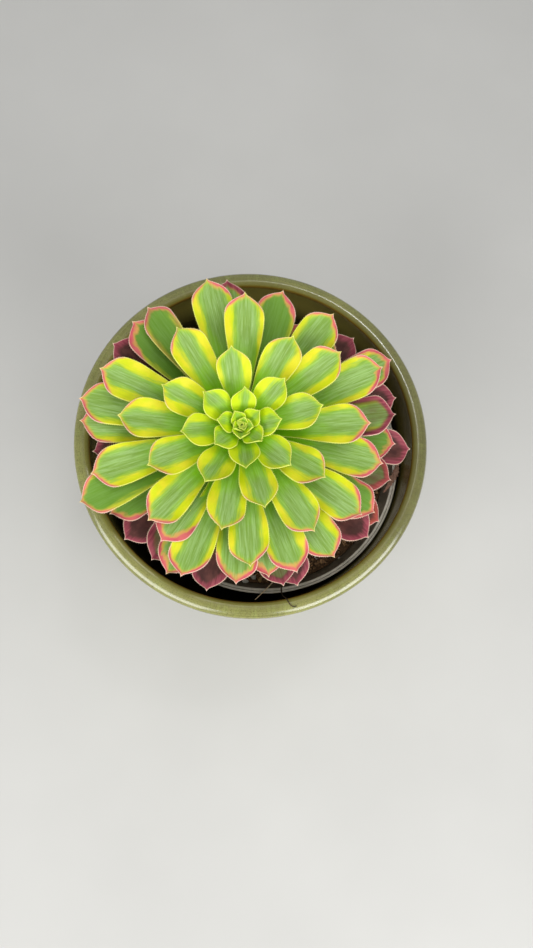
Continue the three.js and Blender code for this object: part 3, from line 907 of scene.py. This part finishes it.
def spin(rng):
    """A random turn as a matrix."""
    return np.array(Euler(rng.uniform(0, 2 * pi, 3)).to_matrix())


def soil_place(rng, inner, outer):
    """A random place on the soil's surface, between two radii from the nursery pot's axis."""
    radius = sqrt(rng.uniform(inner ** 2, outer ** 2))
    return on_soil(*(NURSERY_CENTRE + radius * towards(rng.uniform(0, 2 * pi))))


def scatter(name, material, count, sizes, shape, detail, inner, seed, places=()):
    """Many small rough pieces on the soil, outside the inner radius, the first ones at their places."""
    rng = np.random.default_rng(seed)
    points, faces = rock_mesh(detail)
    body = Body()
    for i in range(count):
        size = rng.uniform(*sizes) / 2
        stretch = np.array(shape) * rng.uniform(0.75, 1.25, 3)
        outer = soil_radius(SOIL_TOP) - size * max(stretch)
        spot = soil_place(rng, inner, outer)
        if i < len(places):
            spot = on_soil(*places[i])
        bumps = 1 + 0.22 * np.sin(points @ rng.uniform(-4, 4, (3, 2)) + rng.uniform(0, 6, 2)).sum(1)
        rock = (points * bumps[:, None] * stretch * size) @ spin(rng).T
        rock[:, 2] -= rock[:, 2].min() * (1 - SINK)
        body.add(rock + spot, faces, mark=rng.uniform())
    body.make(name, material, smooth=False)


def soil_ingredients():
    scatter(
        "peat_crumbs", loose_paint("peat_crumb", "2c1d12", "b58c62", 1.4),
        count=6300, sizes=(0.7, 2.3), shape=(1, 0.8, 0.7), detail=1, inner=7, seed=5,
    )
    scatter(
        "bark_chips", loose_paint("bark_chip", "573a22", "a87a4c", 0.8, 0.8),
        count=170, sizes=(3, 7), shape=(1, 0.6, 0.28), detail=2, inner=16, seed=8,
    )
    scatter(
        "perlite_grains", loose_paint("perlite", "c9c4b6", "f2efe6", 1.2),
        count=46, sizes=(1.3, 2.9), shape=(1, 0.85, 0.7), detail=2, inner=20, seed=13,
        places=PERLITE_PLACES,
    )
    scatter(
        "grit_grains", loose_paint("grit", "9a7440", "d9b878", 1.0, 0.7),
        count=14, sizes=(1.6, 3.0), shape=(1, 0.8, 0.7), detail=2, inner=20, seed=17,
        places=GRIT_PLACES,
    )


def tube(path, radii, sides):
    """A thin round strand along a path of points, with a radius for each."""
    path = np.asarray(path, float)
    radii = np.broadcast_to(radii, len(path))[:, None, None]
    heading = unit(np.gradient(path, axis=0))
    side = unit(np.cross(heading, (0.1, 0.2, 1.0)))
    lift = np.cross(side, heading)
    angles = full_turn(sides)[None, :, None]
    offsets = side[:, None] * np.cos(angles) + lift[:, None] * np.sin(angles)
    return capped(path[:, None] + radii * offsets)


def soil_fibres():
    """Fine dry roots and coir among the crumbs."""
    rng = np.random.default_rng(31)
    body = Body()
    for _ in range(FIBRES):
        x, y, _ = soil_place(rng, *FIBRE_RING)
        bearing = rng.uniform(0, 2 * pi)
        length = rng.uniform(*FIBRE_LENGTHS)
        bend = rng.uniform(-FIBRE_BEND, FIBRE_BEND)
        path = []
        for t in np.linspace(-0.5, 0.5, 7):
            turn = bearing + bend * t * 2
            ground = on_soil(x + length * t * cos(turn), y + length * t * sin(turn))
            path.append(ground + UP * (FIBRE_LIFT + FIBRE_ARCH * (0.25 - t * t)))
        body.add(*tube(path, rng.uniform(*FIBRE_RADII), 5))
    body.make("soil_fibres", strand_paint("coir", "5b3c20", "a5814e"))


# Rosette


def on_rosette(points):
    """From the rosette's own frame, whose height runs along its leaning axis."""
    x, y, z = np.moveaxis(np.asarray(points, float), -1, 0)
    c = cos(ROSETTE_LEAN)
    s = sin(ROSETTE_LEAN)
    return np.stack((x, y * c - z * s, y * s + z * c), -1) + ROSETTE_CENTRE


def growth(leaf):
    """Reach, tip height, width and arch of a leaf, run smoothly through the rows of the table."""
    shrink = YOUNGEST_SHRINK ** max(FIRST_LEAF - leaf, 0)
    leaf = max(leaf, FIRST_LEAF)
    numbers = GROWTH[:, 0]
    traits = GROWTH[:, 1:]
    last = len(numbers) - 1
    row = int(np.clip(np.searchsorted(numbers, leaf, side="right") - 1, 0, last - 1))

    def slope(i):
        before, after = np.clip((i - 1, i + 1), 0, last)
        return (traits[after] - traits[before]) / (numbers[after] - numbers[before])

    step = numbers[row + 1] - numbers[row]
    t = (leaf - numbers[row]) / step
    grown = cubic(traits[row], traits[row + 1], slope(row) * step, slope(row + 1) * step, t)
    return grown * (shrink, (1 + shrink) / 2, shrink, 1)


def out_of_line(table, leaf):
    return next((by for by, leaves in table.items() if leaf in leaves), 0)


def crown_radius(height):
    return lerp(CROWN_TIP_RADIUS, CROWN_RADIUS, smoothstep(height, CROWN_TIP, CROWN_SHOULDER))


def outline(along, shoulder, root, drawn):
    """Half the blade's width as a share of the widest."""
    rising = root + (1 - root) * smoothstep((along / shoulder) ** ROOT_SPREAD)
    past = np.clip((along - shoulder) / (1 - shoulder), 0, 1)
    return np.where(along < shoulder, rising, (1 - past ** POINT_CURVE) ** drawn)


def midrib_knots(leaf, reach, height, arch):
    """The four knots of the midrib's curve in the upright plane through the axis."""
    old_drop = OLD_ROOT_DROP if leaf > LAST_GREEN_LEAF else 0
    root_height = ROOT_TOP - ROOT_STEP * max(leaf, FIRST_LEAF) - old_drop
    root = np.array((ROOT_DEPTH * crown_radius(root_height), root_height))
    tip = np.array((reach, height))
    chord = tip - root
    length = np.hypot(*chord)
    angle = atan2(chord[1], chord[0])
    handle = length / 3 / cos(arch / 2) ** 2
    return root, root + towards(angle + arch) * handle, tip - towards(angle - arch) * handle, tip


def on_curve(knots, t):
    """Points and unit headings of a cubic curve, which may run a little past its end."""
    a, b, c, d = knots
    t = t[:, None]
    point = a * (1 - t) ** 3 + 3 * b * t * (1 - t) ** 2 + 3 * c * t * t * (1 - t) + d * t ** 3
    heading = (b - a) * (1 - t) ** 2 + 2 * (c - b) * t * (1 - t) + (d - c) * t * t
    return point, unit(heading)


def leaf_tones(leaf):
    """The traits that have one value for the whole leaf."""
    return {
        "turning": TURNING.get(leaf, 1.0 if leaf > LAST_GREEN_LEAF else 0.0),
        "brick": BRICK_RED.get(leaf, 0.0),
        # A shade of 1 marks the dark green leaves, partly their own darker green and partly painted
        # shade; the others get a small random darkening.
        "shade": 1.0 if leaf in DARK_GREEN else 0.12 * (1 + draw(leaf, 6)),
        "youth": exp(-max(leaf, 0) / 6.0),
        "mark": 40 + 31 * draw(leaf, 7),
    }


def blade_rows(shoulder, mucro):
    """Shares of the blade's length where its rows are, up to 1 at the tip and on to the mucro's end."""
    point_shares = 1 - (1 - np.arange(POINT_ROWS) / POINT_ROWS) ** 1.25
    return np.hstack((
        np.arange(STALK_ROWS) / STALK_ROWS * shoulder,
        lerp(shoulder, 1, point_shares),
        1 + np.arange(MUCRO_ROWS) / (MUCRO_ROWS - 1) * mucro,
    ))


def blade_turns(bearing, heading, roll):
    """The leaf's heading, and row by row the headings across the blade and out of its upper face."""
    outward = np.array((cos(bearing), sin(bearing), 0))
    sideways = np.array((-sin(bearing), cos(bearing), 0))
    face = outward * -heading[:, 1:] + UP * heading[:, :1]
    side = sideways * np.cos(roll) + face * np.sin(roll)
    normal = face * np.cos(roll) - sideways * np.sin(roll)
    return outward, side, normal


def blade_bands(leaf, inside, shoulder, age):
    """Widths of the yellow margin and of the pink band on each side, row by row."""
    margin, pink = (np.interp(leaf, COLOURED[:, 0], COLOURED[:, k]) for k in (1, 2))
    margin *= 0.5 if leaf in DARK_GREEN else 1
    margins = [margin * (1 + 0.4 * draw(leaf, trait)) for trait in (3, 4)]
    pinks = [pink * (1 + 0.45 * draw(leaf, trait)) for trait in (5, 10)]
    early = 0.16 * np.clip((leaf - 30) / 25, 0, 1)
    past = np.clip((inside - shoulder) / (1 - shoulder), 0, 1)
    start = 0.25 * (1 - exp(-age / YOUNG_ROOT_FADE))
    widening = 1.5 - exp(-age / YOUNG_LEAD_FADE)
    grown = smoothstep(inside, start, shoulder) ** widening * (1 - 0.9 * smoothstep(past))
    ripe = smoothstep((inside - shoulder + early) / (0.14 + early)) * (1 - 0.7 * past ** 2)
    return np.outer(grown, margins), np.outer(ripe, pinks)


def add_leaf(body, leaf):
    """One fleshy blade with a rounded rim, a small point at the tip and fine teeth."""
    reach, height, width, arch = growth(leaf)
    reach += out_of_line(STRETCHED, leaf)
    height += out_of_line(RAISED, leaf)
    width -= out_of_line(NARROWED, leaf)
    knots = midrib_knots(leaf, reach, height, radians(arch))
    length = np.hypot(*(knots[3] - knots[0]))
    age = max(leaf - FIRST_LEAF, 0)
    root = ROOT_WIDTH + YOUNG_ROOT * exp(-age / YOUNG_ROOT_FADE)
    drawn = POINT_DRAWN + YOUNG_DRAWN * exp(-age / YOUNG_ROOT_FADE)
    lead = YOUNG_LEAD * exp(-age / YOUNG_LEAD_FADE)
    bearing = radians(SPIRAL_START + GOLDEN_ANGLE * leaf + lead + out_of_line(TURNED, leaf))
    shoulder = float(np.clip(1 - POINT_LENGTH * width / length, *SHOULDER_RANGE))
    cup = (BLADE_CUP + YOUNG_CUP * exp(-age / YOUNG_CUP_FADE)) * (1 + CUP_VARIES * draw(leaf, 2))
    mucro = MUCRO_LENGTH * min(1, width / 10) / length
    spike = MUCRO_RADIUS * min(1, width / 8)

    rows = blade_rows(shoulder, mucro)
    spine, heading = on_curve(knots, rows)
    inside = np.minimum(rows, 1)
    travelled = distances(spine)

    uneven = SHOULDER_VARIES * draw(leaf, 8)
    taper = np.where(rows > 0.75, spike * np.clip(1 - (rows - 1) / mucro, 0.15, 1) ** 1.7, 0)
    halves = []
    for hand in (-1, 1):
        blade = outline(inside, shoulder + hand * uneven, root, drawn) * width / 2
        halves.append(np.hypot(np.where(rows > 1, 0, blade), taper)[:, None])
    steps = np.sin(np.linspace(-pi / 2, pi / 2, BLADE_COLUMNS))
    half = np.where(steps < 0, *halves)
    slope = np.abs(np.gradient(half, axis=0) / np.gradient(travelled)[:, None])
    lean = 1 / np.sqrt(1 + slope ** 2)

    outward, side, normal = blade_turns(bearing, heading, (BLADE_ROLL * draw(leaf, 1) * rows)[:, None])
    middle = outward * spine[:, :1] + UP * spine[:, 1:]

    x = steps * half
    waves = np.sin(travelled / WAVE_LENGTH * 2 * pi + 3 * draw(leaf, 9))[:, None] * np.sign(steps)
    waves = waves * (WAVE_HEIGHT * smoothstep(inside, 0.35, 0.65) * (rows <= 1))[:, None]
    rib = RIB_DEPTH * np.exp(-(x / RIB_WIDTH) ** 2) * smoothstep(half, 0, 3)
    lift = cup * half * steps ** 2 + waves * steps ** 2 - rib
    thick = lerp(lerp(BLADE_THICK, BLADE_THIN, inside)[:, None], BLADE_EDGE, steps ** 2)
    thick = np.minimum(thick, 1.7 * half)
    top = middle[:, None] + side[:, None] * x[:, :, None] + normal[:, None] * lift[:, :, None]
    bottom = top - normal[:, None] * (thick + 0.8 * rib)[:, :, None]
    rim = np.minimum(BLADE_EDGE / 2, half[:, (0, -1)] * 0.5)
    edges = (top[:, (0, -1)] + bottom[:, (0, -1)]) / 2
    edges += side[:, None] * (rim * np.array((-1, 1)))[:, :, None]
    ring = np.hstack((top, edges[:, 1:], bottom[:, ::-1], edges[:, :1]))
    points, faces = capped(ring)

    def around(values, rim_value=None):
        """A value of each blade point, spread over the ring of its row and the two end points."""
        values = np.broadcast_to(values, top.shape[:2])
        left = values[:, :1] if rim_value is None else np.full((len(rows), 1), rim_value)
        right = values[:, -1:] if rim_value is None else left
        ringed = np.hstack((values, right, values[:, ::-1], left))
        return with_ends(ringed, (values[0, 0], values[-1, 0]))

    tones = leaf_tones(leaf)
    margins, pinks = blade_bands(leaf, inside, shoulder, age)
    margin, pink = (np.where(x < 0, band[:, :1], band[:, 1:]) for band in (margins, pinks))
    near = (half - np.abs(x)) * lean
    below = np.repeat((0, 1), BLADE_COLUMNS + 1)
    body.add(
        on_rosette(points), faces,
        across=around(x),
        along=around(travelled[:, None]),
        share=around(inside[:, None]),
        edge=around(np.where(rows[:, None] > 1, 0, near), -0.2),
        inner=around(near - margin),
        flush=around(pink),
        under=with_ends(np.tile(below, len(rows)), (1, 1)),
        **tones,
    )
    add_teeth(body, leaf, edges, side, travelled, rows, pinks, tones)


def point_on(line, travelled, spot):
    """The point of a line at a distance along it."""
    return np.array([np.interp(spot, travelled, line[:, k]) for k in range(3)])


def add_teeth(body, leaf, edges, side, travelled, rows, pinks, tones):
    """Fine pointed teeth on both edges of a blade, leaning towards its tip."""
    rng = np.random.default_rng(leaf + 200)
    for k, hand in enumerate((-1, 1)):
        edge = edges[:, k]
        reach = distances(edge)
        first, last = np.interp(TOOTHED_SHARE, rows, reach)
        if last - first < TOOTHED_LENGTH:
            continue
        spots = np.arange(first, last, TOOTH_SPACING)
        spots = spots + rng.uniform(-0.25, 0.25, len(spots)) * TOOTH_SPACING
        for spot in spots:
            at = point_on(edge, reach, spot)
            along = unit(point_on(edge, reach, spot + 0.5) - at)
            away = point_on(side, reach, spot) * hand
            away = unit(away - along * (away @ along))
            long = TOOTH_LENGTH * rng.uniform(0.6, 1.3)
            root = at - away * TOOTH_SINK
            points = (
                root - along * TOOTH_BASE / 2,
                root + along * TOOTH_BASE / 2,
                root + np.cross(along, away) * TOOTH_BASE / 2,
                at + away * long + along * long * 0.5,
            )
            body.add(
                on_rosette(points), ((0, 1, 2), (0, 3, 1), (1, 3, 2), (2, 3, 0)),
                across=0, along=np.interp(spot, reach, travelled), share=0.8, edge=-0.2, inner=-3,
                flush=np.interp(spot, reach, pinks[:, k]), under=0, **tones,
            )


# Whorls of leaves that are made as one piece each: name, first leaf, last leaf
WHORLS = (
    ("leaves_bud", YOUNGEST_LEAF, 5),
    ("leaves_inner", 6, 17),
    ("leaves_middle", 18, 32),
    ("leaves_outer", 33, 47),
    ("leaves_lower", 48, LAST_GREEN_LEAF),
    ("leaves_old", LAST_GREEN_LEAF + 1, LAST_LEAF),
)


def rosette():
    """The leaves, whorl by whorl, and the two lengths of crown that carry them."""
    blade_skin = leaf_paint()
    for name, first, last in WHORLS:
        body = Body()
        for leaf in range(first, last + 1):
            if leaf not in FALLEN:
                add_leaf(body, leaf)
        old = first > LAST_GREEN_LEAF
        body.make(name, blade_skin, "old_leaves" if old else "rosette")
    skin = crown_paint()
    crown("crown_green", CROWN_TIP, GREEN_CROWN_END + JOINT_GAP, "rosette", skin)
    old_top = GREEN_CROWN_END - JOINT_GAP
    crown("crown_old", old_top, OLD_CROWN_END + JOINT_GAP, "old_leaves", skin)


def crown(name, top, bottom, replaced, material):
    """A length of the fleshy crown, with the scars of the leaves that have dropped off."""
    heights = np.linspace(bottom, top, CROWN_ROWS)
    angles = full_turn(CROWN_SIDES)
    rings = []
    scars = []
    for h in heights:
        radius = crown_radius(h)
        bumps = np.array([noise.noise(Vector((3 * cos(a), 3 * sin(a), h * 0.5))) for a in angles])
        scar = smoothstep(np.sin(h * 2.2 + 2 * np.sin(angles * 3)), 0.55, 0.85)
        swell = radius * (1 + 0.04 * bumps) - 0.2 * scar * min(1, radius / CROWN_RADIUS)
        rings.append([(r * cos(a), r * sin(a), h) for r, a in zip(swell, angles)])
        scars.append(scar)
    points, faces = capped(rings, flip=True)
    age = np.clip((GREEN_CROWN_END + 8 - np.repeat(heights, CROWN_SIDES)) / 14, 0, 1)
    body = Body()
    body.add(on_rosette(points), faces, age=with_ends(age, (1, 0)), scar=with_ends(scars))
    body.make(name, material, replaced)


def stem():
    """Woody trunk that rises from the soil and bends over to meet the crown."""
    top = on_rosette((0, 0, OLD_CROWN_END - JOINT_GAP))
    turn = on_rosette((0, 0, OLD_CROWN_END - STEM_TURN))
    shares = np.linspace(0, 1, STEM_ROWS)
    path, _ = on_curve((STEM_FOOT, STEM_FOOT + UP * STEM_RISE, turn, top), shares)
    angles = full_turn(STEM_SIDES)
    leaning = on_rosette((0, 1, 0)) - ROSETTE_CENTRE
    rings = []
    scars = []
    for centre, share in zip(path, shares):
        forward = unit(lerp(np.array((0, 1, 0)), leaning, share))
        spiral = np.sin(share * 46 + 3 * np.sin(angles * 2 + share * 9))
        scar = smoothstep(spiral, 0.5, 0.85)
        rough = np.array([
            noise.fractal(Vector((4 * cos(a), 4 * sin(a), share * 30)), 0.7, 2.1, 4) for a in angles
        ])
        radius = lerp(STEM_FOOT_RADIUS, STEM_RADIUS, share) - 0.25 - 0.35 * scar + 0.22 * rough
        around = np.outer(np.cos(angles), (1, 0, 0)) + np.outer(np.sin(angles), forward)
        rings.append(centre + radius[:, None] * around)
        scars.append(scar)
    points, faces = capped(rings, flip=True)
    body = Body()
    body.add(points, faces, scar=with_ends(scars))
    body.make("stem_bark", bark_paint(), "stem")


# Small loose things

STRAW = ((17.5, -52.6, 100.4), (11.6, -58.4, 104.8), (5.6, -64.2, 109.2), (1.8, -67.6, 112.2))
DARK_STRAND = (
    (13.6, -59.8, 107.0), (13.5, -62.0, 108.5), (13.5, -64.2, 109.6), (13.3, -66.0, 118.0),
    (13.4, -66.7, 126.0), (13.9, -67.4, 129.3), (14.5, -68.5, 130.15), (15.3, -69.7, 130.35),
    (16.6, -70.5, 130.35), (18.0, -70.1, 130.35),
)

# Each strand's route, its radius at both ends and its two colours
STRANDS = {
    "straw": (STRAW, (0.3, 0.18), ("e6c292", "fbe8c6")),
    "dark_strand": (DARK_STRAND, (0.34, 0.16), ("2a1f12", "554028")),
}

# The scrap's own line along the nursery pot's lip, and its half widths
SCRAP = ((67.0, -6.4, 109.4), (65.6, -11.0, 109.2), (63.4, -15.2, 108.9), (60.4, -19.6, 107.6))
SCRAP_WIDTHS = (0.5, 1.5, 1.1, 0.25)
SCRAP_THICKNESS = 0.22


def strands():
    for name, (route, radii, colours) in STRANDS.items():
        path = smooth_curve(route, 6)
        body = Body()
        body.add(*tube(path, np.linspace(*radii, len(path)), 8))
        body.make(name, strand_paint(name, *colours))


def leaf_scrap():
    """A shrivelled dry scrap of leaf that lies along the nursery pot's lip."""
    path = smooth_curve(SCRAP, 8)
    columns = np.linspace(-1, 1, 9)
    shares = np.linspace(0, 1, len(path))
    widths = np.interp(shares, np.linspace(0, 1, len(SCRAP_WIDTHS)), SCRAP_WIDTHS)
    heading = unit(np.gradient(path, axis=0)[:, :2])
    rings = []
    for i, (middle, ahead, half) in enumerate(zip(path, heading, widths)):
        across = np.array((-ahead[1], ahead[0], 0))
        ragged = half * (1 + 0.3 * sin(2.3 * i))
        curl = 0.5 * columns ** 2 + 0.25 * np.sin(1.1 * i + 3 * columns)
        line = middle + np.outer(columns * ragged, across) + np.outer(curl, UP)
        rings.append(np.vstack((line, line[::-1] - UP * SCRAP_THICKNESS)))
    body = Body()
    body.add(*capped(rings, flip=True), mark=0.5)
    body.make("leaf_scrap", loose_paint("dry_leaf", "7a5040", "c8a088", 1.1, 0.7))


# Stage: places in metres, turns in degrees, lens and sensor in millimetres

CAMERA_PLACE = (-0.0142, -0.0687, 0.424)
CAMERA_TURN = (10.21, -3.84, 0)
CAMERA_LENS = 27.04
SENSOR = 36
FLOOR_HALF = 1.5
SKY_COLOUR = "f4f6f8"
SKY_STRENGTH = 0.36

# Each lamp's place, its width and height, its power, and whether glossy surfaces mirror it
LAMPS = {
    "overhead": ((0.12, 0.04, 1.1), (0.9, 0.9), 3.45, False),
    "front_left": ((-0.5, -0.55, 0.56), (0.8, 0.5), 4.6, True),
    "front_right": ((0.5, -0.55, 0.56), (0.7, 0.45), 4.4, True),
    "back_window": ((0.16, 0.31, 1.07), (0.13, 0.09), 0.6, True),
}


def lamps():
    """Soft lamps that shine on the middle of the cachepot's rim."""
    target = UP * POT_HEIGHT * MM
    for name, (place, size, power, mirrored) in LAMPS.items():
        lamp = bpy.data.lights.new(name, "AREA")
        lamp.shape = "RECTANGLE"
        lamp.size, lamp.size_y = size
        lamp.energy = power
        light = add_object(name, lamp)
        light.location = place
        light.visible_glossy = mirrored
        light.rotation_euler = Vector(target - place).to_track_quat("-Z", "Y").to_euler()


def lay_floor():
    corners = [(x * FLOOR_HALF, y * FLOOR_HALF, 0) for x, y in ((-1, -1), (1, -1), (1, 1), (-1, 1))]
    mesh = bpy.data.meshes.new("floor")
    mesh.from_pydata(corners, [], [(0, 1, 2, 3)])
    mesh.materials.append(floor_paint())
    floor = add_object("floor", mesh)


def sky():
    world = bpy.data.worlds.new("soft_studio")
    world.use_nodes = True
    background = world.node_tree.nodes["Background"]
    background.inputs["Color"].default_value = srgb(SKY_COLOUR)
    background.inputs["Strength"].default_value = SKY_STRENGTH
    scene.world = world


def camera():
    """The place and lens that the photograph was taken with."""
    data = bpy.data.cameras.new("camera")
    data.lens = CAMERA_LENS
    data.sensor_width = SENSOR
    viewer = add_object("camera", data)
    viewer.location = CAMERA_PLACE
    viewer.rotation_euler = [radians(a) for a in CAMERA_TURN]
    scene.camera = viewer
    scene.view_settings.view_transform = "Standard"


cachepot()
nursery_pot()
soil_surface()
soil_ingredients()
soil_fibres()
stem()
rosette()
strands()
leaf_scrap()
lay_floor()
sky()
lamps()
camera()
